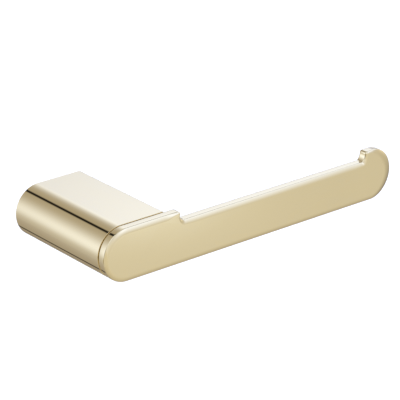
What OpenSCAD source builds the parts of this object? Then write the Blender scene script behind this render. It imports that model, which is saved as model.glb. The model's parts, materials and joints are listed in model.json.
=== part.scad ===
// Wall-mounted open-arm toilet paper holder.
// A hollow D-shaped post stands out from the wall over a concealed bracket.
// A flat round-ended arm is screwed across the front of the post, and the
// roll slides on over its upturned tip and hangs in the shallow recess.
//
// X runs along the arm, Y into the wall and Z up.
// The origin is the centre of the post's width and height, on the wall.

/* [Arm] */
// Overall length of the arm, end to end
arm_length = 176; // [165:1:200]
// Height of the arm, and of the post behind it
arm_height = 26; // [25:0.5:32]
// Thickness of the arm, front to back
arm_thickness = 5; // [4.6:0.1:8]
// Radius rounding the arm's front edge, all the way round
front_round = 1.2; // [0.6:0.1:1.5]

/* [Recess for the roll] */
// Distance from the post's side to the recess
shoulder_length = 5.4; // [4:0.1:10]
// Radius of the shoulder's top corner
shoulder_round = 1.4; // [1.2:0.1:2]
// Clear length of the recess, from the shoulder to the upturned tip
recess_length = 116.8; // [105:0.2:118]
// Depth of the recess below the arm's top
recess_depth = 4.8; // [4.2:0.1:6]
// Radius of the hollow corner under the shoulder
shoulder_hollow = 3.2; // [2:0.1:4]
// Radius of the hollow corner under the tip
tip_hollow = 4.2; // [2:0.1:4.6]

/* [Post] */
// Width of the post, along the arm
post_width = 37.4; // [36:0.2:44]
// Length of the post, from the wall to the back of the arm
post_length = 64; // [50:1:80]
// Thickness of the post's sides
post_wall = 2.5; // [2:0.1:2.8]
// Thickness of the post's front, behind the arm
post_front = 4; // [3.6:0.1:4.4]
// Radius of the two square corners of the D
post_corner = 0.6; // [0.4:0.1:1.5]
// Radius easing the edges on each side of the joint line
seam_ease = 0.3; // [0.1:0.05:0.4]

/* [Arm screws] */
// Thread diameter of the two screws that hold the arm
arm_screw_d = 4; // [3:0.5:4]
// Length of an arm screw under its head
arm_screw_length = 8; // [7.5:0.1:8.4]
// Distance between the two arm screws
arm_screw_spacing = 15; // [12:0.5:16]
// Diameter of an arm screw's head
arm_screw_head_d = 7; // [6:0.1:7.2]
// Height of an arm screw's head
arm_screw_head_h = 4; // [3:0.1:5]
// Hex socket of an arm screw, across its flats
arm_screw_key = 3; // [2:0.5:3]
// Outer diameter of a spring washer
washer_d = 7.4; // [7:0.1:7.8]
// Thickness of a spring washer
washer_t = 0.9; // [0.7:0.1:1.2]
// Width of the split in a spring washer
washer_split = 0.8; // [0.4:0.1:1.2]

/* [Dowels] */
// Diameter of the two dowels that line the arm up with the post
dowel_d = 3; // [2.5:0.1:3.2]
// Length of a dowel
dowel_length = 6; // [5:0.1:6.4]
// Depth that a dowel reaches into the back of the arm
dowel_bite = 2.5; // [2:0.1:3]
// Distance between the two dowels
dowel_spacing = 28.4; // [27:0.2:28.8]

/* [Wall bracket] */
// Thickness of the concealed bracket
bracket_t = 8; // [7:0.2:12]
// Gap between the bracket's sides and the inside of the post
bracket_gap = 0.3; // [0.2:0.05:0.6]
// Height cut off the bottom of the bracket for the grub screws
bracket_cut = 3.3; // [3:0.1:4]
// Distance between the two wall-screw holes
wall_hole_spacing = 18; // [15:0.5:20]
// Diameter of a wall-screw hole
wall_hole_d = 4.8; // [4:0.1:5.5]
// Diameter of the countersink for a wall screw's head
wall_head_d = 9.2; // [8:0.1:10]
// Depth of the V-groove along the bracket's underside
groove_depth = 1.4; // [1.2:0.1:1.8]

/* [Grub screws] */
// Thread diameter of the two grub screws under the post
grub_d = 5; // [4:0.5:5]
// Overall length of a grub screw
grub_length = 6; // [5.4:0.1:6.3]
// Distance between the two grub screws
grub_spacing = 12; // [10:0.5:14]
// Hex socket of a grub screw, across its flats
grub_key = 2.5; // [2:0.5:2.5]
// Diameter of the small flat on a grub screw's point
grub_tip_d = 0.8; // [0.4:0.1:1.2]
// Room left between a grub screw's point and the groove
grub_seat_gap = 0.3; // [0.2:0.05:0.4]

/* [Fits] */
// Radial gap round a thread that is screwed home
thread_gap = 0.05; // [0.02:0.01:0.09]
// Radial gap round an arm screw where it passes through the post
pass_gap = 0.2; // [0.1:0.05:0.4]
// Radial gap round a dowel
dowel_gap = 0.01; // [0.01:0.01:0.05]
// Gap past the end of a screw or dowel in a blind hole
end_gap = 0.4; // [0.1:0.1:0.5]

/* [Hidden] */
$fn = 96;

// A little extra length that lets a cut break through a face
past = 1;

// A rounded edge is this much fuller than a true quarter circle, so that it
// meets each face in a clear line
ease_fullness = 1.015;

// Outline shared by the arm and the post: both are centred on the origin in
// height, and the post's round side is the arm's round left end
half_h = arm_height / 2;
post_left = -post_width / 2;
post_right = post_width / 2;
round_x = post_left + half_h;
tip_x = post_left + arm_length - half_h;

// Depths, measured from the wall towards the room
arm_back_y = -post_length;
arm_front_y = arm_back_y - arm_thickness;
web_y = arm_back_y + post_front;

// The recess, between the shoulder's face and the tip's face. A corner's
// radius is limited by the depth, so that a little of each face stays flat,
// and the shoulder's stays wider than the rounding of the front edge.
face_land = 0.2;
floor_z = half_h - recess_depth;
step_x = post_right + shoulder_length;
tip_face_x = step_x + recess_length;
shoulder_r = max(shoulder_round, front_round + face_land);
shoulder_z = half_h - shoulder_r;
step_hollow_r = min(shoulder_hollow, recess_depth - shoulder_r - face_land);
tip_hollow_r = min(tip_hollow, recess_depth - face_land);

// The post's hollow and the bracket that fits in its mouth
hollow_r = half_h - post_wall;
hollow_right = post_right - post_wall;
bracket_r = hollow_r - bracket_gap;
bracket_right = hollow_right - bracket_gap;
bracket_z = bracket_gap;
bracket_top = bracket_z + bracket_r;
bracket_bottom = bracket_cut - hollow_r;
wall_hole_z = (bracket_top + bracket_bottom) / 2;

// Arm screws: washer on the web, head on the washer, thread into the arm
head_y = web_y + washer_t;
arm_screw_end_y = head_y - arm_screw_length;
dowel_end_y = arm_back_y - dowel_bite;
split_angle = 20;

// Grub screws: point up into the groove, socket just inside the underside
grub_y = -bracket_t / 2;
grub_tip_z = bracket_bottom + groove_depth - grub_tip_d / 2 - grub_seat_gap;
grub_low_z = grub_tip_z - grub_length;
grub_cone_h = (grub_d - grub_tip_d) / 2;
boss_gap = 0.6;
boss_top = bracket_bottom - boss_gap;
boss_margin = 4;
boss_overhang = 1;
boss_depth = bracket_t + boss_overhang;

socket_share = 0.5;
gold = [0.87, 0.80, 0.62];
zinc = [0.66, 0.68, 0.70];
black_steel = [0.22, 0.22, 0.24];

// ---- Frames and edge cutters ----

// Draws in the X-Z plane at depth y, and grows towards the wall
module facing_wall(y) {
    translate([0, y, 0]) rotate([90, 0, 0]) mirror([0, 0, 1]) children();
}

// Draws in the X-Z plane at depth y, and grows towards the room
module facing_room(y) {
    translate([0, y, 0]) rotate([90, 0, 0]) children();
}

// Rounds an outside arc's edge, from one angle to another
module ease_outside(radius, r, from, to) {
    rotate(from) rotate_extrude(angle = to - from) difference() {
        translate([radius - r, -past]) square([r + past, r + past]);
        translate([radius - r, r]) circle(r * ease_fullness);
    }
}

// Rounds an inside arc's edge, from one angle to another
module ease_inside(radius, r, from, to) {
    rotate(from) rotate_extrude(angle = to - from) difference() {
        translate([radius - past, -past]) square([r + past, r + past]);
        translate([radius + r, r]) circle(r * ease_fullness);
    }
}

// Rounds a straight edge along +X, with the material on its -Y side
module ease_straight(length, r) {
    rotate([90, 0, 90]) linear_extrude(length) difference() {
        translate([-r, -past]) square([r + past, r + past]);
        translate([-r, r]) circle(r * ease_fullness);
    }
}

// ---- Outlines ----

// Long outline with two round ends
module stadium_outline() {
    translate([round_x, 0]) circle(half_h);
    translate([tip_x, 0]) circle(half_h);
    translate([round_x, -half_h]) square([tip_x - round_x, arm_height]);
}

// Material left in a square corner of side r, hollowed towards [x, y]
module hollow_corner(x, y, side, r) {
    difference() {
        translate([x + min(side, 0) * r, y]) square(r);
        translate([x + side * r, y + r]) circle(r);
    }
}

// What the recess takes out of the arm's outline
module recess_outline() {
    above = half_h + past;
    difference() {
        translate([step_x, floor_z]) square([recess_length, above - floor_z]);
        hollow_corner(step_x, floor_z, 1, step_hollow_r);
        hollow_corner(tip_face_x, floor_z, -1, tip_hollow_r);
    }
    difference() {
        translate([step_x - shoulder_r, shoulder_z]) square([shoulder_r, above - shoulder_z]);
        translate([step_x - shoulder_r, shoulder_z]) circle(shoulder_r);
    }
}

// D-shaped outline: round on the left, square on the right
module d_outline(radius, right, corner) {
    translate([round_x, 0]) circle(radius);
    translate([round_x, -radius]) square([right - corner - round_x, 2 * radius]);
    translate([round_x, corner - radius]) square([right - round_x, 2 * (radius - corner)]);
    for (side = [-1, 1])
        translate([right - corner, side * (radius - corner)]) circle(corner);
}

// Rounds one face's edge all the way round the arm
module ease_arm(r) {
    shoulder_x = step_x - shoulder_r;
    step_hollow_z = floor_z + step_hollow_r;
    tip_hollow_z = floor_z + tip_hollow_r;
    floor_from = step_x + step_hollow_r;
    floor_to = tip_face_x - tip_hollow_r;
    // Round ends and underside
    translate([round_x, 0]) ease_outside(half_h, r, 90, 270);
    translate([tip_x, 0]) ease_outside(half_h, r, -90, 90);
    mirror([0, 1, 0]) translate([round_x, half_h, 0]) ease_straight(tip_x - round_x, r);
    // Top, shoulder and its face
    translate([round_x, half_h, 0]) ease_straight(shoulder_x - round_x, r);
    translate([shoulder_x, shoulder_z]) ease_outside(shoulder_r, r, 0, 90);
    translate([step_x, shoulder_z, 0]) rotate(-90) ease_straight(shoulder_z - step_hollow_z, r);
    // Recess floor between its hollow corners
    translate([floor_from, step_hollow_z]) ease_inside(step_hollow_r, r, 180, 270);
    translate([floor_from, floor_z, 0]) ease_straight(floor_to - floor_from, r);
    translate([floor_to, tip_hollow_z]) ease_inside(tip_hollow_r, r, 270, 360);
    // Face and top of the tip, which meet in a sharp corner
    translate([tip_face_x, tip_hollow_z, 0]) rotate(90)
        ease_straight(half_h - tip_hollow_z + past, r);
    translate([tip_face_x - past, half_h, 0]) ease_straight(tip_x - tip_face_x + past, r);
}

// Rounds one end's edge all the way round the post
module ease_post(r) {
    top_length = post_right - post_corner - round_x;
    translate([round_x, 0]) ease_outside(half_h, r, 90, 270);
    for (side = [0, 1]) mirror([0, side, 0]) {
        translate([round_x, half_h, 0]) ease_straight(top_length, r);
        translate([post_right - post_corner, half_h - post_corner])
            ease_outside(post_corner, r, 0, 90);
    }
    translate([post_right, half_h - post_corner, 0]) rotate(-90)
        ease_straight(arm_height - 2 * post_corner, r);
}

// ---- Repeated features ----

// Puts a copy on each side of the post's middle, to go with a spacing
module both_sides(spacing) {
    for (side = [-1, 1]) translate([side * spacing / 2, 0, 0]) children();
}

// Six-sided socket, as a cutter, sunk from z = 0 down
module hex_socket(key, depth) {
    translate([0, 0, -depth]) cylinder(d = key / cos(30), h = depth + past, $fn = 6);
}

// ---- Sub-parts ----

// Flat arm across the front, with its recess and upturned tip
module arm_plate() {
    color(gold) difference() {
        facing_wall(arm_front_y) linear_extrude(arm_thickness) difference() {
            stadium_outline();
            recess_outline();
        }
        facing_wall(arm_front_y) ease_arm(front_round);
        facing_room(arm_back_y) ease_arm(seam_ease);
        both_sides(arm_screw_spacing)
            facing_wall(arm_screw_end_y - end_gap)
                cylinder(r = arm_screw_d / 2 + thread_gap,
                         h = arm_back_y - arm_screw_end_y + end_gap + past);
        both_sides(dowel_spacing)
            facing_wall(dowel_end_y - end_gap / 2)
                cylinder(r = dowel_d / 2 + dowel_gap, h = dowel_bite + end_gap / 2 + past);
    }
}

// Hollow of the post, open at the wall, less the boss for the grub screws
module post_hollow() {
    difference() {
        facing_room(past)
            linear_extrude(post_length - post_front + past)
                d_outline(hollow_r, hollow_right, post_corner);
        translate([-grub_spacing / 2 - boss_margin, -boss_depth, -half_h])
            cube([grub_spacing + 2 * boss_margin, boss_depth + 2 * past, boss_top + half_h]);
    }
}

// Hollow D-shaped post, closed at the front by a web
module post_housing() {
    color(gold) difference() {
        facing_room(0) linear_extrude(post_length)
            d_outline(half_h, post_right, post_corner);
        facing_room(0) ease_post(seam_ease);
        facing_wall(arm_back_y) ease_post(seam_ease);
        post_hollow();
        both_sides(arm_screw_spacing)
            facing_wall(arm_back_y - past)
                cylinder(r = arm_screw_d / 2 + pass_gap, h = post_front + 2 * past);
        both_sides(dowel_spacing)
            facing_wall(arm_back_y - past)
                cylinder(r = dowel_d / 2 + dowel_gap, h = post_front + 2 * past);
        both_sides(grub_spacing)
            translate([0, grub_y, -half_h - past])
                cylinder(r = grub_d / 2 + thread_gap, h = boss_top + half_h + 2 * past);
    }
}

// Concealed bracket on the wall: the post hangs over it
module wall_bracket() {
    sink_h = (wall_head_d - wall_hole_d) / 2;
    color(zinc) difference() {
        facing_room(0) linear_extrude(bracket_t) difference() {
            translate([0, bracket_z]) d_outline(bracket_r, bracket_right, post_corner);
            translate([post_left, -half_h]) square([post_width, bracket_bottom + half_h]);
        }
        translate([0, 0, wall_hole_z]) both_sides(wall_hole_spacing) {
            facing_room(past) cylinder(d = wall_hole_d, h = bracket_t + 2 * past);
            facing_wall(-bracket_t) cylinder(d1 = wall_head_d, d2 = wall_hole_d, h = sink_h);
        }
        translate([post_left, grub_y, bracket_bottom]) rotate([90, 0, 90])
            linear_extrude(post_width) polygon([
                [-groove_depth - past, -past],
                [0, groove_depth],
                [groove_depth + past, -past]
            ]);
    }
}

// Socket-head screw from inside the post into the arm
module arm_screw(side) {
    color(black_steel) translate([side * arm_screw_spacing / 2, 0, 0]) {
        facing_wall(arm_screw_end_y) cylinder(d = arm_screw_d, h = arm_screw_length);
        difference() {
            facing_wall(head_y) cylinder(d = arm_screw_head_d, h = arm_screw_head_h);
            facing_wall(head_y + arm_screw_head_h)
                hex_socket(arm_screw_key, arm_screw_head_h * socket_share);
        }
    }
}

// Split ring between a screw's head and the post's web
module spring_washer(side) {
    color(zinc) translate([side * arm_screw_spacing / 2, 0, 0])
        facing_wall(web_y) difference() {
            cylinder(d = washer_d, h = washer_t);
            translate([0, 0, -past])
                cylinder(r = arm_screw_d / 2 + thread_gap, h = washer_t + 2 * past);
            rotate(split_angle) translate([0, -washer_split / 2, -past])
                cube([washer_d, washer_split, washer_t + 2 * past]);
        }
}

// Plain pin across the joint between the post and the arm
module dowel(side) {
    color(zinc) translate([side * dowel_spacing / 2, 0, 0])
        facing_wall(dowel_end_y) cylinder(d = dowel_d, h = dowel_length);
}

// Cone-point set screw in the underside, which locks the post on its bracket
module grub_screw(side) {
    color(black_steel) translate([side * grub_spacing / 2, grub_y, 0]) difference() {
        translate([0, 0, grub_low_z]) rotate_extrude() polygon([
            [0, 0],
            [grub_d / 2, 0],
            [grub_d / 2, grub_length - grub_cone_h],
            [grub_tip_d / 2, grub_length],
            [0, grub_length]
        ]);
        translate([0, 0, grub_low_z]) mirror([0, 0, 1])
            hex_socket(grub_key, grub_length * socket_share);
    }
}

arm_plate();
post_housing();
wall_bracket();
arm_screw(-1);  // arm_screw_left
arm_screw(1);  // arm_screw_right
spring_washer(-1);  // spring_washer_left
spring_washer(1);  // spring_washer_right
dowel(-1);  // dowel_left
dowel(1);  // dowel_right
grub_screw(-1);  // grub_screw_left
grub_screw(1);  // grub_screw_right
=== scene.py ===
# Wall-mounted open-arm toilet paper holder, dressed around its packed CAD model.
# X runs along the arm, Y into the wall and Z up. Everything is in metres.

import json
import math

import bmesh
import bpy
from bpy.props import FloatProperty, FloatVectorProperty, IntProperty, PointerProperty
from mathutils import Matrix, Vector


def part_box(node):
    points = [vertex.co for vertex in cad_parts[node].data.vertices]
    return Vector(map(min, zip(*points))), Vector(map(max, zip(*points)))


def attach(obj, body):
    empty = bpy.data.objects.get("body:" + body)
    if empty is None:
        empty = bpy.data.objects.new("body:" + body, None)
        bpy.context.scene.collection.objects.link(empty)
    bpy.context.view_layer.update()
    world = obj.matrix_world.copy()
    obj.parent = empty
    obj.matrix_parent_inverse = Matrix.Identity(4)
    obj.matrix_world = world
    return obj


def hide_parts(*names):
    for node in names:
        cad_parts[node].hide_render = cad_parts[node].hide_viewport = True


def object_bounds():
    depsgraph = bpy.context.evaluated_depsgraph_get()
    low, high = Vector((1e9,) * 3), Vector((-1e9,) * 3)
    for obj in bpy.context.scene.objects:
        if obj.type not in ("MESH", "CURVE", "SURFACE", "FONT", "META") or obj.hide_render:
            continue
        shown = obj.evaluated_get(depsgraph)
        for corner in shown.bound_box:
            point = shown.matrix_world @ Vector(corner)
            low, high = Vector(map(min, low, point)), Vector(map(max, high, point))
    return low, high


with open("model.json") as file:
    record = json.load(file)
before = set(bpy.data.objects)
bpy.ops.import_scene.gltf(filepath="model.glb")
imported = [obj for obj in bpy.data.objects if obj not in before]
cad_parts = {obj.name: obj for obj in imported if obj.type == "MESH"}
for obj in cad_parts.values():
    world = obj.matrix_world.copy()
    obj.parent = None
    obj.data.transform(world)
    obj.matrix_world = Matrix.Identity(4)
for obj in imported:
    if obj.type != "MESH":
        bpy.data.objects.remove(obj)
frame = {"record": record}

bl_info = {
    "name": "Toilet Paper Holder",
    "version": (1, 0, 0),
    "blender": (4, 5, 0),
    "location": "3D View > Sidebar > Holder",
    "description": "Builds a gold open-arm paper holder around its packed model",
    "category": "Add Mesh",
}

CAD_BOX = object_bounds()
MM = 0.001
TURN = 2 * math.pi
ORIGIN = (0, 0, 0)
FACING = (math.pi / 2, 0, 0)
ROUND_SIDES = 96
HOLE_SIDES = 64
RING_STEPS = 90
END_STEPS = 64
ROUND_STEPS = 32
SQUARE_STEPS = 8
CORNER_STEPS = 20
TOP_STEPS = 6
EDGE_STEPS = 4
WELD = 1e-7
GROWN_WELD = 2e-5
RIM_STEPS = 24
RIM_TURNS = 12
EDGE_TURNS = 5
RIM_CURVE = 2.0
RIM_EASE = 7 * MM
THREAD_ROWS = 12.0
THREAD_DEPTH = 0.61
FLANK_SLOPE = 2.7
ROOT_FLAT = 0.2
THREAD_ROOM = 0.05 * MM
SOCKET_MOUTH = 0.6
SOCKET_EASE = 0.15 * MM
END_CENTRE = 0.4
FINISHES_MADE = {}


# ---- Sizes and colours that a user would change ----


def length(name, description, default):
    """A size in metres, given in millimetres."""
    return FloatProperty(name=name, description=description, default=default * MM, unit="LENGTH", precision=5)


def degrees(name, description, default):
    """An angle, given in degrees."""
    return FloatProperty(name=name, description=description, default=math.radians(default), subtype="ANGLE")


def colour(name, description, default):
    """A linear colour."""
    return FloatVectorProperty(
        name=name, description=description, default=default, subtype="COLOR", size=3, min=0, max=1
    )


class ArmSizes(bpy.types.PropertyGroup):
    """Shape of the arm's edges and of its recess"""

    rim_width: length("Rim width", "How far the soft front rim reaches in from the edge", 2.6)
    rim_narrow: length("Narrow rim", "How far the rim reaches in at the recess's small corners", 0.8)
    rim_tip_width: length("Rim width at the tip", "How far the rim reaches in at the end of the arm", 5.0)
    rim_depth: length("Rim depth", "How far the rim falls back at the edge", 0.9)
    rim_tip_depth: length("Rim depth at the tip", "How far the rim falls back at the end of the arm", 1.45)
    rim_edge: length("Rim edge", "Radius easing the line where the rim meets the arm's side", 0.3)
    back_ease: length("Back easing", "Radius easing the back edge at the joint line", 0.8)
    shoulder: length("Shoulder", "From the post's side to the recess's upright face", 6.0)
    shoulder_hollow: length("Shoulder hollow", "Radius of the hollow under the shoulder", 2.6)
    tip_length: length("Tip length", "From the foot of the tip's inner face to the end of the arm", 19.2)
    tip_hollow: length("Tip hollow", "Radius of the hollow under the upturned tip", 0.8)
    tip_lean: degrees("Tip lean", "Lean of the tip's inner face", 24)
    tip_bow: degrees("Tip bow", "Turn of the tip's hollow inner face", 48)
    corner: length("Corner", "Radius of the recess's two top corners", 1.3)
    screw_hole: length("Screw hole", "Radius of the blind holes for the arm screws", 2.05)
    screw_hole_end: length("Screw hole end", "Room past the end of an arm screw", 0.4)
    dowel_hole: length("Dowel hole", "Radius of the blind holes for the dowels", 1.51)
    dowel_hole_end: length("Dowel hole end", "Room past the end of a dowel", 0.2)


class PostSizes(bpy.types.PropertyGroup):
    """Hollow of the post, and the holes through it"""

    wall: length("Wall", "Thickness of the post's sides", 2.5)
    front: length("Front", "Thickness of the post's front, behind the arm", 4.0)
    corner: length("Corner", "Radius of the two square corners of the D", 0.6)
    edge: length("Edge easing", "Radius easing the post's edges", 0.1)
    seam_width: length("Seam width", "Width of the shadow groove where the post meets the arm", 0.35)
    seam_depth: length("Seam depth", "Depth of that groove", 1.1)
    pass_hole: length("Pass hole", "Radius of the holes that the arm screws pass through", 2.2)
    dowel_hole: length("Dowel hole", "Radius of the holes for the dowels", 1.51)
    grub_hole: length("Grub hole", "Radius of the threaded holes in the underside", 2.55)
    boss_side: length("Boss side", "Boss left beside each grub screw's axis", 4.0)
    boss_depth: length("Boss depth", "How far the boss reaches in from the wall", 9.0)
    boss_gap: length("Boss gap", "Gap between the boss and the bracket", 0.6)


class BracketSizes(bpy.types.PropertyGroup):
    """Wall bracket's holes and groove"""

    corner: length("Corner", "Radius of the bracket's square top corner", 0.6)
    edge: length("Edge easing", "Radius on the casting's edges", 0.1)
    hole: length("Hole", "Radius of a wall-screw hole", 2.4)
    sink: length("Countersink", "Radius of a wall-screw hole's countersink", 4.6)
    hole_spacing: length("Hole spacing", "Between the two wall-screw holes", 18.0)
    groove: length("Groove", "Depth of the V-groove that the grub screws bear in", 1.4)


class FastenerSizes(bpy.types.PropertyGroup):
    """Threads, sockets, washers and dowels"""

    arm_pitch: length("Arm screw pitch", "Pitch of the arm screws' thread", 0.7)
    arm_head: length("Arm screw head", "Height of an arm screw's head", 4.0)
    arm_key: length("Arm screw key", "Arm screw's hex socket, across its flats", 3.0)
    grub_pitch: length("Grub pitch", "Pitch of the grub screws' thread", 0.8)
    grub_key: length("Grub key", "Grub screw's hex socket, across its flats", 2.5)
    grub_tip: length("Grub tip", "Diameter of the flat on a grub screw's point", 0.8)
    washer_hole: length("Washer hole", "Radius of the hole in a spring washer", 2.05)
    washer_split: length("Washer split", "Width of the split in a spring washer", 0.8)
    dowel_chamfer: length("Dowel chamfer", "Chamfer on a dowel's ends", 0.35)
    knurls: IntProperty(name="Knurls", description="Ridges round an arm screw's head", default=32, min=12)


class Finishes(bpy.types.PropertyGroup):
    """Colours of the finishes"""

    gold: colour("Gold", "Polished champagne-gold plating", (0.75, 0.64, 0.39))
    zinc: colour("Zinc", "Blasted zinc casting", (0.45, 0.46, 0.47))
    black_oxide: colour("Black oxide", "Black-oxide steel", (0.03, 0.03, 0.033))
    bright_steel: colour("Bright steel", "Bright zinc-plated steel", (0.62, 0.62, 0.60))
    floor: colour("Floor", "Pale floor", (0.86, 0.86, 0.85))


class StudioSettings(bpy.types.PropertyGroup):
    """Camera, floor and light"""

    azimuth: degrees("Azimuth", "Camera's turn round the holder", -39.263)
    elevation: degrees("Elevation", "Camera's height above level", 22.807)
    distance: length("Distance", "From the camera to the middle of the view", 955.95)
    lens: FloatProperty(name="Lens", description="Focal length in millimetres", default=189.20, min=10)
    aim: FloatVectorProperty(
        name="Aim",
        description="Middle of the view, from the middle of the holder's front",
        default=(-33.55 * MM, 0, 15.75 * MM),
        subtype="TRANSLATION",
    )
    drop: length("Drop", "From the holder's underside to the floor", 240.0)


PROPERTY_GROUPS = {
    "holder_arm": ArmSizes,
    "holder_post": PostSizes,
    "holder_bracket": BracketSizes,
    "holder_fasteners": FastenerSizes,
    "holder_finishes": Finishes,
    "holder_studio": StudioSettings,
}


# ---- Places, from the frame ----


def middle(node):
    """Centre of a CAD node's box."""
    low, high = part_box(node)
    return (low + high) / 2


def spacing(kind):
    """Distance along the arm between the left and the right node of a kind."""
    return middle(f"{kind}_right").x - middle(f"{kind}_left").x


def mount_place(name):
    """Where the record puts a mount."""
    return next(Vector(mount["pos_m"]) for mount in frame["record"]["mounts"] if mount["name"] == name)


# ---- Mesh helpers ----


def arc(centre, radius, start, end, steps):
    """Points on an arc in the X-Z plane, both ends included, angles in degrees."""
    points = []
    for i in range(steps + 1):
        angle = math.radians(start + (end - start) * i / steps)
        points.append((centre[0] + radius * math.cos(angle), centre[1] + radius * math.sin(angle)))
    return points


def between_points(start, end, steps):
    """Points spaced evenly on the straight line between two ends, ends left out."""
    shares = [i / steps for i in range(1, steps)]
    return [tuple(a + (b - a) * share for a, b in zip(start, end)) for share in shares]


def skin(mesh, loops, closed_start=False, closed_end=True):
    """Quads from each closed loop of points to the next, with flat ends where asked."""
    rows = [[mesh.verts.new(point) for point in loop] for loop in loops]
    for first, second in zip(rows, rows[1:]):
        for i in range(len(first)):
            j = (i + 1) % len(first)
            mesh.faces.new((first[i], first[j], second[j], second[i]))
    if closed_start:
        mesh.faces.new(rows[0])
    if closed_end:
        mesh.faces.new(rows[-1])


def new_object(name, data):
    """Object for some data, at the origin of the scene."""
    made = bpy.data.objects.new(name, data)
    bpy.context.scene.collection.objects.link(made)
    return made


def finish_mesh(mesh, name):
    """Welds the seams, turns the faces outwards and makes the object, at the origin."""
    bmesh.ops.remove_doubles(mesh, verts=mesh.verts, dist=WELD)
    bmesh.ops.dissolve_degenerate(mesh, edges=mesh.edges, dist=WELD)
    bmesh.ops.recalc_face_normals(mesh, faces=mesh.faces)
    data = bpy.data.meshes.new(name)
    mesh.to_mesh(data)
    mesh.free()
    return new_object(name, data)


def smooth(piece, bevel=0.0, segments=3, crease=35):
    """Smooth shading that keeps broad faces flat, with a real radius on the sharp edges if asked."""
    for face in piece.data.polygons:
        face.use_smooth = True
    piece.data.set_sharp_from_angle(angle=math.radians(crease))
    if bevel:
        rounding = piece.modifiers.new("Edge radius", "BEVEL")
        rounding.width = bevel
        rounding.segments = segments
        rounding.limit_method = "ANGLE"
        rounding.angle_limit = math.radians(crease)
        rounding.use_clamp_overlap = False
    weights = piece.modifiers.new("Flat faces", "WEIGHTED_NORMAL")
    weights.mode = "FACE_AREA"
    weights.weight = 100
    weights.keep_sharp = not bevel


def dress(piece, slot, body, *nodes):
    """Gives a piece its body and hides the CAD nodes that it stands for; the slot is not used."""
    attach(piece, body)
    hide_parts(*nodes)


# ---- Node helpers ----


class Value:
    """A node's output. Arithmetic on it adds Math nodes, and [key] is another output of the same node."""

    def __init__(self, socket):
        self.socket = socket

    def __getitem__(self, key):
        return Value(self.socket.node.outputs[key])

    def math(self, operation, *others):
        """Output of a Math node whose first input is this value."""
        return add(self.socket.id_data, "ShaderNodeMath", self, *others, operation=operation)

    def __add__(self, other):
        return self.math("ADD", other)

    def __sub__(self, other):
        return self.math("SUBTRACT", other)

    def __rsub__(self, other):
        return add(self.socket.id_data, "ShaderNodeMath", other, self, operation="SUBTRACT")

    def __mul__(self, other):
        return self.math("MULTIPLY", other)

    def __truediv__(self, other):
        return self.math("DIVIDE", other)

    def __neg__(self):
        return self.math("MULTIPLY", -1.0)


def add(tree, kind, *values, **named):
    """Adds a node and returns its first output, if it has one.

    Values are its inputs in order, Capital_names are inputs by name and small_names are settings.
    """
    made = tree.nodes.new(kind)
    inputs = dict(enumerate(values))
    for key, value in named.items():
        if key[0].isupper():
            inputs[key.replace("_", " ")] = value
        else:
            setattr(made, key, value)
    for key, value in inputs.items():
        if isinstance(value, Value):
            tree.links.new(value.socket, made.inputs[key])
        else:
            made.inputs[key].default_value = value
    return Value(made.outputs[0]) if made.outputs else None


def vector(tree, x=0.0, y=0.0, z=0.0):
    """Vector made of three numbers."""
    return add(tree, "ShaderNodeCombineXYZ", x, y, z)


def vector_math(tree, operation, *values, **named):
    """Output of a Vector Math node."""
    return add(tree, "ShaderNodeVectorMath", *values, operation=operation, **named)


def moved(tree, geometry, place=ORIGIN, turn=ORIGIN):
    """Geometry turned about the origin, then moved."""
    return add(tree, "GeometryNodeTransform", Geometry=geometry, Translation=place, Rotation=turn)


def new_tree(name, **inputs):
    """Geometry Nodes tree, with its inputs' names listed by kind. Returns it and each input's value."""
    tree = bpy.data.node_groups.new(name, "GeometryNodeTree")
    tree.interface.new_socket("Geometry", in_out="OUTPUT", socket_type="NodeSocketGeometry")
    for kind, labels in inputs.items():
        for label in labels.split(", "):
            tree.interface.new_socket(label, in_out="INPUT", socket_type=f"NodeSocket{kind}")
    start = tree.nodes.new("NodeGroupInput")
    return tree, *(Value(socket) for socket in start.outputs[:-1])


def group(tree, name, **inputs):
    """Another tree used as a node."""
    return add(tree, "GeometryNodeGroup", node_tree=bpy.data.node_groups[name], **inputs)


def end_tree(tree, geometry, material=None):
    """Closes a tree, with real geometry that has its material where one is given."""
    if material:
        real = add(tree, "GeometryNodeRealizeInstances", geometry)
        geometry = add(tree, "GeometryNodeSetMaterial", Geometry=real, Material=material)
    add(tree, "NodeGroupOutput", geometry)


def grow(piece, tree_name, slot, **values):
    """Runs a Geometry Nodes tree on a piece, with a slot's finish, and keeps the result as plain mesh."""
    modifier = piece.modifiers.new(tree_name, "NODES")
    modifier.node_group = bpy.data.node_groups[tree_name]
    values["Material"] = finish(slot)
    for item in modifier.node_group.interface.items_tree:
        key = item.name.replace(" ", "_")
        if item.in_out == "INPUT" and key in values:
            modifier[item.identifier] = values.pop(key)
    if values:
        raise KeyError(f"{tree_name} has no input named {sorted(values)}")
    evaluated = piece.evaluated_get(bpy.context.evaluated_depsgraph_get())
    result = bpy.data.meshes.new_from_object(evaluated)
    piece.modifiers.remove(modifier)
    empty = piece.data
    piece.data = result
    bpy.data.meshes.remove(empty)
    result.name = piece.name
    tidy_mesh(result)
    return piece


def tidy_mesh(data):
    """Welds a grown mesh, turns its faces outwards and leaves it one material."""
    mesh = bmesh.new()
    mesh.from_mesh(data)
    bmesh.ops.remove_doubles(mesh, verts=mesh.verts, dist=GROWN_WELD)
    bmesh.ops.triangulate(mesh, faces=[f for f in mesh.faces if len(f.verts) > 4], ngon_method="BEAUTY")
    bmesh.ops.recalc_face_normals(mesh, faces=mesh.faces)
    for face in mesh.faces:
        face.material_index = 0
    mesh.to_mesh(data)
    mesh.free()
    used = [material for material in data.materials if material]
    data.materials.clear()
    for material in used[:1]:
        data.materials.append(material)


def blank(name):
    """Object with an empty mesh, for a tree that makes everything itself."""
    return finish_mesh(bmesh.new(), name)


# ---- Geometry Nodes trees ----


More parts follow.
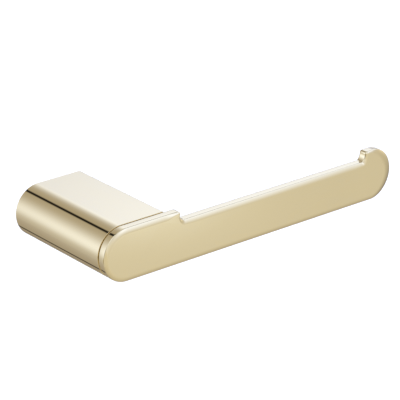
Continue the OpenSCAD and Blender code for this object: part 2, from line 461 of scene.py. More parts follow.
def d_prism_tree():
    """Prism on a D-shaped outline, round on the left, along Y."""
    tree, left, right, radius, corner, height, start, end = new_tree(
        "D prism", Float="Left, Right, Radius, Corner, Height, From, To"
    )
    outline = add(tree, "GeometryNodeCurvePrimitiveQuadrilateral", Width=right - left, Height=radius * 2.0)
    at = add(tree, "ShaderNodeSeparateXYZ", add(tree, "GeometryNodeInputPosition"))
    is_left = at["X"].math("LESS_THAN", 0.0)
    turn = is_left * (radius - corner) + corner
    steps = is_left * float(ROUND_STEPS - SQUARE_STEPS) + float(SQUARE_STEPS)
    rounded = add(
        tree, "GeometryNodeFilletCurve", Curve=outline, Count=steps, Radius=turn, Limit_Radius=True,
        mode="POLY",
    )
    path = add(tree, "GeometryNodeCurvePrimitiveLine", Start=vector(tree, y=start), End=vector(tree, y=end))
    swept = add(tree, "GeometryNodeCurveToMesh", Curve=path, Profile_Curve=rounded, Fill_Caps=True)
    welded = add(tree, "GeometryNodeMergeByDistance", Geometry=swept, Distance=10 * WELD)
    end_tree(tree, moved(tree, welded, vector(tree, (left + right) * 0.5, z=height)))


def pair_tree():
    """Two copies, one each side of the middle."""
    tree, geometry, gap, place = new_tree("Pair", Geometry="Geometry", Float="Spacing", Vector="Place")
    half = vector(tree, gap * -0.5)
    line = add(tree, "GeometryNodeMeshLine", Count=2, Start_Location=half, Offset=vector(tree, gap))
    copies = add(tree, "GeometryNodeInstanceOnPoints", Points=line, Instance=geometry)
    end_tree(tree, moved(tree, add(tree, "GeometryNodeRealizeInstances", copies), place))


def holes(tree, radius, depth, gap, place, turn=ORIGIN):
    """Cutter for a pair of round holes."""
    drill = add(tree, "GeometryNodeMeshCylinder", Vertices=HOLE_SIDES, Radius=radius, Depth=depth)
    return group(tree, "Pair", Geometry=moved(tree, drill, turn=turn), Spacing=gap, Place=place)


def cut(tree, body, *cutters):
    """Body less the cutters."""
    made = add(tree, "GeometryNodeMeshBoolean", Mesh_1=body, operation="DIFFERENCE", solver="EXACT")
    for cutter in cutters:
        tree.links.new(cutter.socket, made.socket.node.inputs["Mesh 2"])
    return made


def block(tree, size, place, turn=ORIGIN):
    """Plain block."""
    return moved(tree, add(tree, "GeometryNodeMeshCube", Size=size), place, turn)


def post_tree():
    """Hollow D-shaped post with its web, boss and holes."""
    (
        tree, left, right, radius, corner, wall, web, long, seam_width, seam_depth,
        boss_width, boss_depth, boss_top, screw_radius, screw_gap, dowel_radius, dowel_gap,
        grub_radius, grub_gap, grub_depth, material,
    ) = new_tree(
        "Post",
        Float="Left, Right, Radius, Corner, Wall, Front, Length, Seam Width, Seam Depth, "
        "Boss Width, Boss Depth, Boss Top, Screw Radius, Screw Spacing, Dowel Radius, Dowel Spacing, "
        "Grub Radius, Grub Spacing, Grub Depth",
        Material="Material",
    )
    past = 1 * MM
    front = -long

    def prism(inward, start, end):
        """Prism on the post's outline pulled in."""
        return group(
            tree, "D prism", Left=left + inward, Right=right - inward, Radius=radius - inward,
            Corner=corner, From=start, To=end,
        )

    spigot = prism(seam_depth, front - 2 * past, front + 2 * past)
    seam = cut(tree, prism(-past, front - past, front + seam_width), spigot)
    boss_height = boss_top + radius
    boss = block(
        tree,
        vector(tree, boss_width, boss_depth + 2 * past, boss_height),
        vector(tree, y=boss_depth * -0.5 + past, z=boss_height * -0.5 + boss_top),
    )
    room = cut(tree, prism(wall, front + web, past), boss)
    deep = web * 3.0
    at_front = vector(tree, y=front)
    screw_holes = holes(tree, screw_radius, deep, screw_gap, at_front, FACING)
    dowel_holes = holes(tree, dowel_radius, deep, dowel_gap, at_front, FACING)
    below = vector(tree, y=grub_depth, z=-radius)
    grub_holes = holes(tree, grub_radius, boss_height * 4.0, grub_gap, below)
    body = prism(0.0, front, 0.0)
    end_tree(tree, cut(tree, body, seam, room, screw_holes, dowel_holes, grub_holes), material)


def blind_holes_tree():
    """Sinks the holes for the screws and dowels into the back of a finished plate."""
    tree, plate, back, *sunk, material = new_tree(
        "Blind holes",
        Geometry="Geometry",
        Float="Back, Screw Radius, Screw Depth, Screw Spacing, Dowel Radius, Dowel Depth, Dowel Spacing",
        Material="Material",
    )
    at_back = vector(tree, y=back)
    cutters = []
    for radius, depth, gap in (sunk[:3], sunk[3:]):
        cutters.append(holes(tree, radius, depth * 2.0, gap, at_back, FACING))
    end_tree(tree, cut(tree, plate, *cutters), material)


def bracket_tree():
    """Cast bracket: D-shaped plate cut off below, with countersunk holes and a V-groove."""
    (
        tree, left, right, radius, corner, height, bottom, thickness, hole, sink, gap, hole_height,
        groove, groove_depth, material,
    ) = new_tree(
        "Bracket",
        Float="Left, Right, Radius, Corner, Centre Height, Bottom, Thickness, Hole Radius, Sink Radius, "
        "Hole Spacing, Hole Height, Groove, Groove Depth",
        Material="Material",
    )
    wide = 100 * MM
    past = 0.3 * MM
    front = -thickness
    plate = group(
        tree, "D prism", Left=left, Right=right, Radius=radius, Corner=corner, Height=height, From=front,
        To=0.0,
    )
    below = block(tree, (wide, wide, wide), vector(tree, z=bottom - wide / 2))
    at_middle = vector(tree, y=front * 0.5, z=hole_height)
    bores = holes(tree, hole, thickness * 2.0, gap, at_middle, FACING)
    cone = add(
        tree, "GeometryNodeMeshCone", Vertices=HOLE_SIDES, Radius_Top=hole - past, Radius_Bottom=sink + past,
        Depth=sink - hole + 2 * past,
    )
    turned = moved(tree, cone, turn=(-math.pi / 2, 0, 0))
    mouth = vector(tree, y=front - past, z=hole_height)
    sinks = group(tree, "Pair", Geometry=turned, Spacing=gap, Place=mouth)
    side = groove * math.sqrt(2)
    at_groove = vector(tree, y=groove_depth, z=bottom)
    bar = block(tree, vector(tree, wide, side, side), at_groove, (math.pi / 4, 0, 0))
    end_tree(tree, cut(tree, plate, below, bores, sinks, bar), material)


def thread_tree():
    """Adds an open threaded shank from the origin up Z to a head, then turns and places the screw."""
    tree, head, radius, pitch, long, sides, turn, place, material = new_tree(
        "Thread", Geometry="Geometry", Float="Radius, Pitch, Length", Int="Sides", Vector="Turn, Place",
        Material="Material",
    )
    depth = pitch * THREAD_DEPTH
    root = radius - depth
    shank = add(
        tree, "GeometryNodeMeshCylinder", Vertices=sides, Side_Segments=long / pitch * THREAD_ROWS,
        Radius=root, Depth=long, fill_type="NONE",
    )
    raised = moved(tree, shank, vector(tree, z=long * 0.5))
    at = add(tree, "ShaderNodeSeparateXYZ", add(tree, "GeometryNodeInputPosition"))
    height = at["Z"]
    around = at["Y"].math("ARCTAN2", at["X"]) / TURN
    wave = (height / pitch - around).math("PINGPONG", 0.5)
    crest = add(tree, "ShaderNodeClamp", wave * FLANK_SLOPE - ROOT_FLAT)
    ridge = (crest * depth).math("MINIMUM", height.math("MINIMUM", long - height))
    scale = (root + ridge) / root
    grown = vector(tree, at["X"] * scale, at["Y"] * scale, height)
    threaded = add(tree, "GeometryNodeSetPosition", Geometry=raised, Position=grown)
    joined = add(tree, "GeometryNodeJoinGeometry", head)
    tree.links.new(threaded.socket, joined.socket.node.inputs[0])
    welded = add(tree, "GeometryNodeMergeByDistance", Geometry=joined, Distance=10 * WELD)
    end_tree(tree, moved(tree, welded, place, turn), material)


def row_tree():
    """Repeats a finished piece on both sides of the post's middle."""
    tree, piece, gap, place, material = new_tree(
        "Row", Geometry="Geometry", Float="Spacing", Vector="Place", Material="Material"
    )
    end_tree(tree, group(tree, "Pair", Geometry=piece, Spacing=gap, Place=place), material)


def coil_tree():
    """Split ring: a square wire carried round an arc, with its two ends cut."""
    tree, inner, outer, thickness, split, start, material = new_tree(
        "Split ring", Float="Inner Radius, Outer Radius, Thickness, Split, Start", Material="Material"
    )
    mean = (inner + outer) * 0.5
    gap = split / mean
    path = add(
        tree, "GeometryNodeCurveArc", Resolution=RING_STEPS, Radius=mean, Start_Angle=gap * 0.5 + start,
        Sweep_Angle=TURN - gap,
    )
    wire = add(tree, "GeometryNodeCurvePrimitiveQuadrilateral", Width=outer - inner, Height=thickness)
    swept = add(tree, "GeometryNodeCurveToMesh", Curve=path, Profile_Curve=wire, Fill_Caps=True)
    end_tree(tree, moved(tree, swept, turn=FACING), material)


def build_trees():
    """Makes every tree once, the shared ones first."""
    for make in (
        d_prism_tree, pair_tree, post_tree, blind_holes_tree, bracket_tree, thread_tree, row_tree, coil_tree
    ):
        make()


# ---- Finishes ----


def new_material(name):
    """Material with an empty tree. Returns both."""
    material = bpy.data.materials.new(name)
    material.use_nodes = True
    material.node_tree.nodes.clear()
    return material, material.node_tree


def object_noise(tree, scale, detail=4.0, roughness=0.5, stretch=(1, 1, 1)):
    """Noise on the piece's own coordinates, stretched along an axis if asked."""
    place = add(tree, "ShaderNodeTexCoord")["Object"]
    at = add(tree, "ShaderNodeMapping", Vector=place, Scale=stretch)
    return add(tree, "ShaderNodeTexNoise", Vector=at, Scale=scale, Detail=detail, Roughness=roughness)["Fac"]


def tones(tree, noise, rgb, dark, light):
    """A colour that noise makes darker and lighter."""
    first, second = [(*(min(1.0, channel * share) for channel in rgb), 1) for share in (dark, light)]
    return add(tree, "ShaderNodeMix", Factor=noise, A=first, B=second, data_type="RGBA")[2]


def end_metal(tree, tone, rough, marks, height, strength, depth, **coat):
    """Closes a metal's tree: marks set its roughness range, height its bump, under a coat if asked."""
    low, high = rough
    uneven = add(tree, "ShaderNodeMapRange", Value=marks, To_Min=low, To_Max=high)
    bump = add(tree, "ShaderNodeBump", Strength=strength, Distance=depth, Height=height)
    if coat:
        coat["Coat_Normal"] = bump
    shader = add(
        tree, "ShaderNodeBsdfPrincipled", Base_Color=tone, Metallic=1.0, Roughness=uneven, Normal=bump, **coat
    )
    add(tree, "ShaderNodeOutputMaterial", shader)


def gold_material(rgb):
    """Mirror-polished champagne-gold plating: faint polishing waviness, hairlines and tone changes."""
    material, tree = new_material("gold_plating")
    tone = tones(tree, object_noise(tree, 35), rgb, 0.985, 1.015)
    hairline = object_noise(tree, 900, 2.0, 0.5, (0.05, 1, 1))
    wave = object_noise(tree, 60, 1.0)
    coat = {"Coat_Weight": 1.0, "Coat_Roughness": 0.02, "Coat_IOR": 1.5}
    end_metal(tree, tone, (0.02, 0.04), hairline, wave, 0.02, 0.1 * MM, **coat)
    return material


def zinc_material(rgb):
    """Blasted die casting: fine grain, dull tone and a few darker blooms."""
    material, tree = new_material("blasted_zinc")
    tone = tones(tree, object_noise(tree, 140, 6.0, 0.65), rgb, 0.8, 1.2)
    grain = object_noise(tree, 2600, 3.0, 0.7)
    end_metal(tree, tone, (0.48, 0.68), grain, grain, 0.55, 0.12 * MM)
    return material


def steel_material(name, rgb, rough):
    """Machined steel with turning marks and a slightly uneven plated tone."""
    material, tree = new_material(name)
    tone = tones(tree, object_noise(tree, 420, 5.0, 0.6), rgb, 0.75, 1.25)
    marks = object_noise(tree, 3200, 2.0, 0.6, (0.2, 1, 1))
    end_metal(tree, tone, (rough * 0.8, rough * 1.3), marks, marks, 0.3, 0.04 * MM)
    return material


def finish(slot):
    """The finish for one of the record's slots, made the first time that it is asked for."""
    colours = bpy.context.scene.holder_finishes
    makers = {
        "polished_gold": lambda: gold_material(colours.gold),
        "cast_zinc": lambda: zinc_material(colours.zinc),
        "black_steel": lambda: steel_material("black_oxide_steel", colours.black_oxide, 0.38),
        "bright_steel": lambda: steel_material("plated_steel", colours.bright_steel, 0.22),
    }
    if slot not in FINISHES_MADE:
        FINISHES_MADE[slot] = makers[slot]()
    return FINISHES_MADE[slot]


# ---- The arm ----


def recess_corners(sizes):
    """The outline points round which the recess's two small top corners turn."""
    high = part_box("arm_plate")[1]
    floor = mount_place("roll_seat").z
    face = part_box("post_housing")[1].x + sizes.shoulder
    foot = high.x - sizes.tip_length
    lean = sizes.tip_lean
    below = high.z - sizes.corner
    across = foot + (below - floor) * math.tan(lean) + sizes.corner / math.cos(lean)
    return (face - sizes.corner, below), (across, below)


def arm_outline(sizes, inset):
    """Arm's outline pulled in by inset, with the same count of points at every inset."""
    low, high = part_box("arm_plate")
    half = (high.z - low.z) / 2
    floor = mount_place("roll_seat").z
    left = low.x + half
    right = high.x - half
    shoulder, tip = recess_corners(sizes)
    face = shoulder[0] + sizes.corner
    hollow = sizes.shoulder_hollow
    upper = sizes.tip_lean - sizes.tip_bow / 2
    lower = sizes.tip_lean + sizes.tip_bow / 2
    start_z = tip[1] + sizes.corner * math.sin(upper)
    end_z = floor + sizes.tip_hollow * (1 - math.sin(lower))
    bow = (start_z - end_z) / (math.sin(lower) - math.sin(upper))
    bowed = (tip[0] - (sizes.corner + bow) * math.cos(upper), start_z + bow * math.sin(upper))
    under_tip = (bowed[0] + (bow - sizes.tip_hollow) * math.cos(lower), floor + sizes.tip_hollow)
    upper = math.degrees(upper)
    lower = math.degrees(lower)
    end = arc((left, 0), half - inset, 270, 90, END_STEPS)
    top = arc(shoulder, sizes.corner - inset, 90, 0, CORNER_STEPS)
    step = arc((face + hollow, floor + hollow), hollow + inset, 180, 270, CORNER_STEPS)
    rise = arc(under_tip, sizes.tip_hollow + inset, 270, 360 - lower, CORNER_STEPS)
    inner = arc(bowed, bow + inset, 360 - lower, 360 - upper, CORNER_STEPS)
    brow = arc(tip, sizes.corner - inset, 180 - upper, 90, CORNER_STEPS)
    far = arc((right, 0), half - inset, 90, -90, END_STEPS)
    return [
        *end,
        *between_points(end[-1], top[0], RIM_STEPS),
        *top,
        *step,
        *between_points(step[-1], rise[0], RIM_STEPS),
        *rise,
        *inner[1:-1],
        *brow,
        *between_points(brow[-1], far[0], TOP_STEPS),
        *far,
    ]


def rim_profile(sizes):
    """Points (share of the width left, share of the depth, extra depth) from the flat face to the side."""
    start = sizes.rim_edge / sizes.rim_width
    points = []
    for i in range(RIM_TURNS + 1):
        left = 1 - (1 - start) * i / RIM_TURNS
        points.append((left, (1 - left) ** RIM_CURVE, 0.0))
    deep = points[-1][1]
    for i in range(1, EDGE_TURNS + 1):
        share = i / EDGE_TURNS
        rest = 1 - share
        fall = deep * rest * rest + 2 * rest * share + share * share
        points.append((start * rest * rest, fall, sizes.rim_edge * share * share))
    return points


def eased(value):
    """Smooth step from 0 to 1, held at both ends."""
    value = min(1.0, max(0.0, value))
    return value * value * (3 - 2 * value)


def rim_loops(sizes):
    """Loops of the soft front rim, from the flat face out to the edge and back along it."""
    low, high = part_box("arm_plate")
    edge = arm_outline(sizes, 0)
    floor = mount_place("roll_seat").z
    corners = recess_corners(sizes)
    round_x = high.x - (high.z - low.z) / 2
    loops = []
    for inward, fall, extra in rim_profile(sizes):
        narrow = arm_outline(sizes, sizes.rim_narrow * inward)
        broad = arm_outline(sizes, min(sizes.rim_width, sizes.rim_tip_width) * inward)
        wide = arm_outline(sizes, sizes.rim_tip_width * inward)
        loop = []
        for near, far, farthest, (x, z) in zip(narrow, broad, wide, edge):
            room = min(math.hypot(x - across, z - up) for across, up in corners)
            share = eased(room / RIM_EASE) if z > floor - WELD else 1.0
            tip = eased((x - round_x) / (high.x - round_x))
            depth = sizes.rim_depth + (sizes.rim_tip_depth - sizes.rim_depth) * tip
            inner = [n + (f - n) * share for n, f in zip(near, far)]
            inner = [n + (f - n) * tip for n, f in zip(inner, farthest)]
            loop.append((inner[0], low.y + depth * fall + extra, inner[1]))
        loops.append(loop)
    return loops


def rounding(radius, y, towards, steps):
    """Steps (inset, depth) of a quarter round that starts on a face at depth y."""
    made = []
    for i in range(steps + 1):
        angle = math.pi / 2 * i / steps
        made.append((radius * (1 - math.sin(angle)), y + towards * radius * (1 - math.cos(angle))))
    return made


class HOLDER_OT_arm_plate(bpy.types.Operator):
    """Build the flat arm with its recess and upturned tip"""

    bl_idname = "holder.arm_plate"
    bl_label = "Arm Plate"

    def execute(self, context):
        sizes = context.scene.holder_arm
        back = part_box("arm_plate")[1].y
        mesh = bmesh.new()
        loops = rim_loops(sizes)
        for inset, y in reversed(rounding(sizes.back_ease, back, -1, EDGE_STEPS)):
            loops.append([(x, y, z) for x, z in arm_outline(sizes, inset)])
        skin(mesh, loops, closed_start=True)
        piece = grow(
            finish_mesh(mesh, "arm_plate_body"), "Blind holes", "polished_gold", Back=back,
            Screw_Radius=sizes.screw_hole, Screw_Spacing=spacing("arm_screw"),
            Screw_Depth=back - (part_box("arm_screw_left")[0].y - sizes.screw_hole_end),
            Dowel_Radius=sizes.dowel_hole, Dowel_Spacing=spacing("dowel"),
            Dowel_Depth=back - (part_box("dowel_left")[0].y - sizes.dowel_hole_end),
        )
        smooth(piece)
        dress(piece, "polished_gold", "holder", "arm_plate")
        return {"FINISHED"}


# ---- The post and its bracket ----


class HOLDER_OT_post_housing(bpy.types.Operator):
    """Build the hollow D-shaped post"""

    bl_idname = "holder.post_housing"
    bl_label = "Post Housing"

    def execute(self, context):
        sizes = context.scene.holder_post
        low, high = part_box("post_housing")
        grub_gap = spacing("grub_screw")
        piece = grow(
            blank("post_housing_body"), "Post", "polished_gold",
            Left=low.x, Right=high.x, Radius=(high.z - low.z) / 2, Corner=sizes.corner,
            Wall=sizes.wall, Front=sizes.front, Length=high.y - low.y,
            Seam_Width=sizes.seam_width, Seam_Depth=sizes.seam_depth,
            Boss_Width=grub_gap + 2 * sizes.boss_side, Boss_Depth=sizes.boss_depth,
            Boss_Top=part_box("wall_bracket")[0].z - sizes.boss_gap,
            Screw_Radius=sizes.pass_hole, Screw_Spacing=spacing("arm_screw"),
            Dowel_Radius=sizes.dowel_hole, Dowel_Spacing=spacing("dowel"),
            Grub_Radius=sizes.grub_hole, Grub_Spacing=grub_gap, Grub_Depth=middle("grub_screw_left").y,
        )
        smooth(piece, sizes.edge)
        dress(piece, "polished_gold", "holder", "post_housing")
        return {"FINISHED"}


class HOLDER_OT_wall_bracket(bpy.types.Operator):
    """Build the cast bracket that the post hangs over"""

    bl_idname = "holder.wall_bracket"
    bl_label = "Wall Bracket"

    def execute(self, context):
        sizes = context.scene.holder_bracket
        low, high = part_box("wall_bracket")
        post_low, post_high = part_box("post_housing")
        radius = post_high.z + post_low.x - low.x
        piece = grow(
            blank("wall_bracket_body"), "Bracket", "cast_zinc",
            Left=low.x, Right=high.x, Radius=radius, Corner=sizes.corner,
            Centre_Height=high.z - radius, Bottom=low.z, Thickness=high.y - low.y,
            Hole_Radius=sizes.hole, Sink_Radius=sizes.sink, Hole_Spacing=sizes.hole_spacing,
            Hole_Height=mount_place("wall_screw_holes").z,
            Groove=sizes.groove, Groove_Depth=middle("grub_screw_left").y,
        )
        smooth(piece, sizes.edge, 2)
        dress(piece, "cast_zinc", "holder", "wall_bracket")
        return {"FINISHED"}


# ---- Fasteners ----


def ring(height, radius):
    """Closed loop of points round Z. Its radius is a number or a function of the angle."""
    points = []
    for i in range(ROUND_SIDES):
        angle = TURN * i / ROUND_SIDES
        reach = radius(angle) if callable(radius) else radius
        points.append((reach * math.cos(angle), reach * math.sin(angle), height))
    return points


def hex_ring(key):
    """Radius of a hexagon, from the size across its flats."""
    return lambda angle: key / 2 / math.cos(angle % (math.pi / 3) - math.pi / 6)


def knurled_ring(radius, depth, count):
    """Radius of a knurled circle."""
    return lambda angle: radius - depth * (0.5 - 0.5 * math.cos(count * angle))


def stack(mesh, rings, **ends):
    """Skin over rings, each a height and a radius."""
    skin(mesh, [ring(height, radius) for height, radius in rings], **ends)


def thread_root(radius, pitch):
    """Radius at the bottom of a thread."""
    return radius - THREAD_DEPTH * pitch


def pair_up(piece, kind, slot, y):
    """Repeats a piece at its kind's left and right places."""
    return grow(piece, "Row", slot, Spacing=spacing(kind), Place=(0, y, middle(f"{kind}_left").z))


class HOLDER_OT_arm_screws(bpy.types.Operator):
    """Build the two socket-head screws that hold the arm"""

    bl_idname = "holder.arm_screws"
    bl_label = "Arm Screws"

    def execute(self, context):
        sizes = context.scene.holder_fasteners
        low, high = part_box("arm_screw_left")
        head = (high.x - low.x) / 2
        shank = high.y - low.y - sizes.arm_head
        radius = context.scene.holder_arm.screw_hole - THREAD_ROOM
        root = thread_root(radius, sizes.arm_pitch)
        top = shank + sizes.arm_head
        ease = 0.25 * MM
        knurl = 0.16 * MM
        lip = 0.2 * MM
        knurled = knurled_ring(head, knurl, sizes.knurls)
        socket = hex_ring(sizes.arm_key)
        socket_floor = top - sizes.arm_head / 2
        mesh = bmesh.new()
        stack(mesh, [(0, root * END_CENTRE), (0, root)], closed_start=True, closed_end=False)
        head_rings = [
            (shank, root),
            (shank, head - ease),
            (shank + 0.4 * ease, head - knurl),
            (shank + ease, knurled),
            (top - 3 * ease, knurled),
            (top - 2.6 * ease, head - knurl),
            (top - 0.8 * ease, head - lip),
            (top, head - lip - 0.8 * ease),
            (top, sizes.arm_key * SOCKET_MOUTH + SOCKET_EASE),
            (top - ease, socket),
            (socket_floor, socket),
            (socket_floor - 0.15 * MM, 0.5 * MM),
        ]
        stack(mesh, head_rings)
        piece = grow(
            finish_mesh(mesh, "arm_screws"), "Thread", "black_steel", Radius=radius, Pitch=sizes.arm_pitch,
            Length=shank, Sides=ROUND_SIDES, Turn=(-math.pi / 2, 0, 0),
        )
        pair_up(piece, "arm_screw", "black_steel", low.y)
        smooth(piece, crease=40)
        dress(piece, "black_steel", "holder", "arm_screw_left", "arm_screw_right")
        return {"FINISHED"}


class HOLDER_OT_spring_washers(bpy.types.Operator):
    """Build the two split washers under the arm screws' heads"""

    bl_idname = "holder.spring_washers"
    bl_label = "Spring Washers"

    def execute(self, context):
        sizes = context.scene.holder_fasteners
        low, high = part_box("spring_washer_left")
        piece = grow(
            blank("spring_washers"), "Split ring", "bright_steel", Inner_Radius=sizes.washer_hole,
            Outer_Radius=(high.z - low.z) / 2, Thickness=high.y - low.y, Split=sizes.washer_split,
            Start=math.radians(-20),
        )
        pair_up(piece, "spring_washer", "bright_steel", middle("spring_washer_left").y)
        smooth(piece, 0.1 * MM, 2)
        dress(piece, "bright_steel", "holder", "spring_washer_left", "spring_washer_right")
        return {"FINISHED"}


class HOLDER_OT_dowels(bpy.types.Operator):
    """Build the two dowels between the post and the arm"""

    bl_idname = "holder.dowels"
    bl_label = "Dowels"

    def execute(self, context):
        chamfer = context.scene.holder_fasteners.dowel_chamfer
        low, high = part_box("dowel_left")
        radius = (high.x - low.x) / 2
        long = high.y - low.y
        tip = radius - 0.5 * chamfer
        rings = [
            (0, tip * END_CENTRE),
            (0, tip),
            (chamfer, radius),
            (long - chamfer, radius),
            (long, tip),
            (long, tip * END_CENTRE),
        ]
        mesh = bmesh.new()
        stack(mesh, rings, closed_start=True)
        piece = finish_mesh(mesh, "dowels")
        piece.data.transform(Matrix.Rotation(-math.pi / 2, 4, "X"))
        pair_up(piece, "dowel", "bright_steel", low.y)
        smooth(piece, crease=20)
        dress(piece, "bright_steel", "holder", "dowel_left", "dowel_right")
        return {"FINISHED"}


class HOLDER_OT_grub_screws(bpy.types.Operator):
    """Build the two cone-point grub screws in the post's underside"""

    bl_idname = "holder.grub_screws"
    bl_label = "Grub Screws"

    def execute(self, context):
        for side in ("left", "right"):
            self.build(context.scene.holder_fasteners, side)
        return {"FINISHED"}

    def build(self, sizes, side):
        """One screw, its socket down and its point up."""
        node = f"grub_screw_{side}"
        low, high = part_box(node)
        radius = (high.x - low.x) / 2
        tip = sizes.grub_tip / 2
        long = high.z - low.z
        root = thread_root(radius, sizes.grub_pitch)
        shank = long - (radius - tip)
        socket = hex_ring(sizes.grub_key)
        socket_rings = [
            (0, root),
            (0, sizes.grub_key * SOCKET_MOUTH + SOCKET_EASE),
            (0.25 * MM, socket),
            (long / 2, socket),
            (long / 2 + 0.2 * MM, 0.4 * MM),
        ]
        point_rings = [
            (shank, root),
            (long - (root - tip), root),
            (long - 0.1 * MM, tip + 0.1 * MM),
            (long, tip * 0.8),
        ]
        mesh = bmesh.new()
        stack(mesh, socket_rings)
        stack(mesh, point_rings)
        centre = middle(node)
        piece = grow(
            finish_mesh(mesh, f"{node}_body"), "Thread", "black_steel", Radius=radius, Pitch=sizes.grub_pitch,
            Length=shank, Sides=ROUND_SIDES, Place=(centre.x, centre.y, low.z),
        )
        smooth(piece, crease=40)
        dress(piece, "black_steel", f"grub_{side}", node)


# ---- The stage ----


# Soft panels round the holder, as degrees round from the front and above level, half spans and light.
PANELS = (
    ("right rear panel", 131.2, 30.7, 0.313, 0.217, (1.05, 1.21, 1.55)),
    ("left panel", -122.7, 3.6, 0.371, 0.557, (1.19, 1.41, 1.95)),
    ("front panel", 29.8, 20.5, 0.309, 0.499, (0.45, 0.57, 0.94)),
    ("pale floor in front", 46.2, -26.6, 1.943, 0.739, (0.46, 0.48, 0.46)),
    ("shade on the right", 104.8, -29.9, 0.765, 0.436, (-0.51, -0.50, -0.43)),
    ("ceiling panel", 67.3, 45.2, 0.862, 0.354, (0.60, 0.81, 1.45)),
    ("dark strip high on the right", 127.8, 43.5, 0.177, 0.243, (-1.11, -1.30, -1.80)),
    ("left front panel", -54.9, 50.0, 0.330, 0.690, (1.03, 1.27, 1.72)),
    ("low front glow", 36.8, -22.8, 0.046, 0.018, (0.25, 0.30, 0.40)),
    ("dark room behind", 143.1, -13.9, 0.201, 0.328, (-0.46, -0.46, -0.50)),
    ("dark left corner", -110.0, -20.2, 0.400, 0.208, (-0.50, -0.61, -0.93)),
    ("low light on the right", 88.0, 5.0, 0.32, 0.20, (0.42, 0.40, 0.34)),
    ("dark strip on the left", -80.0, 14.0, 0.22, 0.35, (-0.45, -0.50, -0.55)),
)
# Light between the panels, and the least and most that any direction gives.
BASE_LIGHT = (0.48, 0.42, 0.32)
LEAST_LIGHT = (0.02, 0.02, 0.02)
MOST_LIGHT = (1.35, 1.5, 2.3)
# Place, width and depth of the dark gap above the holder and of the one below it.
GAPS = ((-0.157, 0.096, 0.97), (-0.052, 0.074, 0.90))


def heading(around, above):
    """Direction, from its angle round from the front and its angle above level."""
    level = math.cos(above)
    return Vector((math.sin(around) * level, -math.cos(around) * level, math.sin(above)))


def panel_light(tree, direction, name, around, above, wide, high, light):
    """One soft panel's light along a direction, fading smoothly past its half spans."""
    centre = heading(math.radians(around), math.radians(above))
    across = Vector((math.cos(math.radians(around)), math.sin(math.radians(around)), 0))
    up = across.cross(centre) * -1

    def reach(axis):
        """How far the direction goes along an axis."""
        return vector_math(tree, "DOT_PRODUCT", direction, axis)["Value"]

    spread = reach(across / wide).math("POWER", 2.0) + reach(up / high).math("POWER", 2.0)
    share = (-spread).math("EXPONENT") * reach(centre).math("GREATER_THAN", 0.0)
    lit = vector_math(tree, "SCALE", light, Scale=share)
    lit.socket.node.label = name
    return lit


def panel_gap(slant, above, place, width, depth):
    """Dark gap between panels, running towards the wall above or below the holder."""
    dark = (-((slant - place) / width).math("POWER", 4.0)).math("EXPONENT")
    return 1.0 - dark * above * depth


def studio_world():
    """White backdrop and even light, with soft panels and the gaps between them for what mirrors them."""
    world = bpy.data.worlds.new("studio")
    bpy.context.scene.world = world
    world.use_nodes = True
    tree = world.node_tree
    tree.nodes.clear()
    direction = add(tree, "ShaderNodeTexCoord")["Generated"]
    light = BASE_LIGHT
    for panel in PANELS:
        light = vector_math(tree, "ADD", light, panel_light(tree, direction, *panel))
    light = vector_math(tree, "MINIMUM", light, MOST_LIGHT)
    light = vector_math(tree, "MAXIMUM", light, LEAST_LIGHT)
    at = add(tree, "ShaderNodeSeparateXYZ", direction)
    slant = at["X"] / (at["X"].math("POWER", 2.0) + at["Z"].math("POWER", 2.0)).math("SQRT")
    behind = at["Y"].math("GREATER_THAN", 0.0)
    over = at["Z"].math("GREATER_THAN", 0.0) * behind
    for where, gap in zip((over, behind - over), GAPS):
        light = vector_math(tree, "SCALE", light, Scale=panel_gap(slant, where, *gap))
    panels = add(tree, "ShaderNodeBackground", light, 1.0)
    white = add(tree, "ShaderNodeBackground", (1, 1, 1, 1), 1.0)
    seen = add(tree, "ShaderNodeLightPath")["Is Camera Ray"]
    add(tree, "ShaderNodeOutputWorld", add(tree, "ShaderNodeMixShader", seen, panels, white))


def floor_material(rgb):
    """Pale matt floor that reads as white to the camera and keeps the holder's shadow."""
    material, tree = new_material("pale_floor")
    add(tree, "ShaderNodeOutputMaterial", add(tree, "ShaderNodeBsdfDiffuse", (*rgb, 1)))
    return material


def add_floor_light():
    """Soft light from above that whitens the floor and isn't mirrored in the metal."""
    data = bpy.data.lights.new("floor light", "SUN")
    data.energy = 1.6
    data.angle = math.radians(40)
    new_object("floor light", data).visible_glossy = False


def add_floor(studio, finishes):
    """Wide flat floor below the holder."""
    half = 6.0
    height = CAD_BOX[0].z - studio.drop
    mesh = bmesh.new()
    corners = [(-half, -half), (half, -half), (half, half), (-half, half)]
    mesh.faces.new([mesh.verts.new((x, y, height)) for x, y in corners])
    floor = finish_mesh(mesh, "floor")
    floor.data.materials.append(floor_material(finishes.floor))
    floor.visible_glossy = False


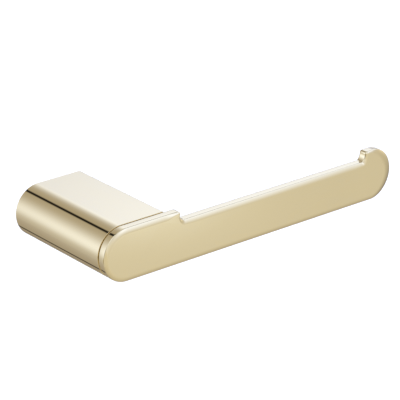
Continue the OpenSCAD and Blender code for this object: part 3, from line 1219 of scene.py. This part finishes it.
def add_camera(studio):
    """Camera at its angle, aimed at a point fixed to the holder's front."""
    low, high = CAD_BOX
    aim = Vector(((low.x + high.x) / 2, low.y, (low.z + high.z) / 2)) + Vector(studio.aim)
    back = heading(studio.azimuth, studio.elevation)
    data = bpy.data.cameras.new("camera")
    data.lens = studio.lens
    camera = new_object("camera", data)
    camera.location = aim + back * studio.distance
    camera.rotation_euler = (-back).to_track_quat("-Z", "Y").to_euler()
    bpy.context.scene.camera = camera


class HOLDER_OT_stage(bpy.types.Operator):
    """Set up the floor, light and camera"""

    bl_idname = "holder.stage"
    bl_label = "Stage"

    def execute(self, context):
        scene = context.scene
        studio_world()
        add_floor(scene.holder_studio, scene.holder_finishes)
        add_floor_light()
        add_camera(scene.holder_studio)
        scene.view_settings.view_transform = "Standard"
        return {"FINISHED"}


# ---- Panel and registration ----

OPERATORS = (
    HOLDER_OT_arm_plate,
    HOLDER_OT_post_housing,
    HOLDER_OT_wall_bracket,
    HOLDER_OT_arm_screws,
    HOLDER_OT_spring_washers,
    HOLDER_OT_dowels,
    HOLDER_OT_grub_screws,
    HOLDER_OT_stage,
)


class HOLDER_PT_panel(bpy.types.Panel):
    """Sizes and steps of the paper holder"""

    bl_idname = "HOLDER_PT_panel"
    bl_label = "Paper Holder"
    bl_space_type = "VIEW_3D"
    bl_region_type = "UI"
    bl_category = "Holder"

    def draw(self, context):
        for name, settings in PROPERTY_GROUPS.items():
            box = self.layout.box()
            box.label(text=settings.__doc__)
            for key in settings.__annotations__:
                box.prop(getattr(context.scene, name), key)
        for operator in OPERATORS:
            self.layout.operator(operator.bl_idname)


def register():
    """Registers the classes and hangs the settings on the scene."""
    for name, settings in PROPERTY_GROUPS.items():
        bpy.utils.register_class(settings)
        setattr(bpy.types.Scene, name, PointerProperty(type=settings))
    for entry in (*OPERATORS, HOLDER_PT_panel):
        bpy.utils.register_class(entry)


def unregister():
    """Takes everything away again."""
    for entry in reversed((*OPERATORS, HOLDER_PT_panel)):
        bpy.utils.unregister_class(entry)
    for name, settings in PROPERTY_GROUPS.items():
        delattr(bpy.types.Scene, name)
        bpy.utils.unregister_class(settings)


def main():
    """Builds every piece and the stage."""
    register()
    build_trees()
    for operator in OPERATORS:
        family, step = operator.bl_idname.split(".")
        getattr(getattr(bpy.ops, family), step)()


if __name__ == "__main__":
    main()
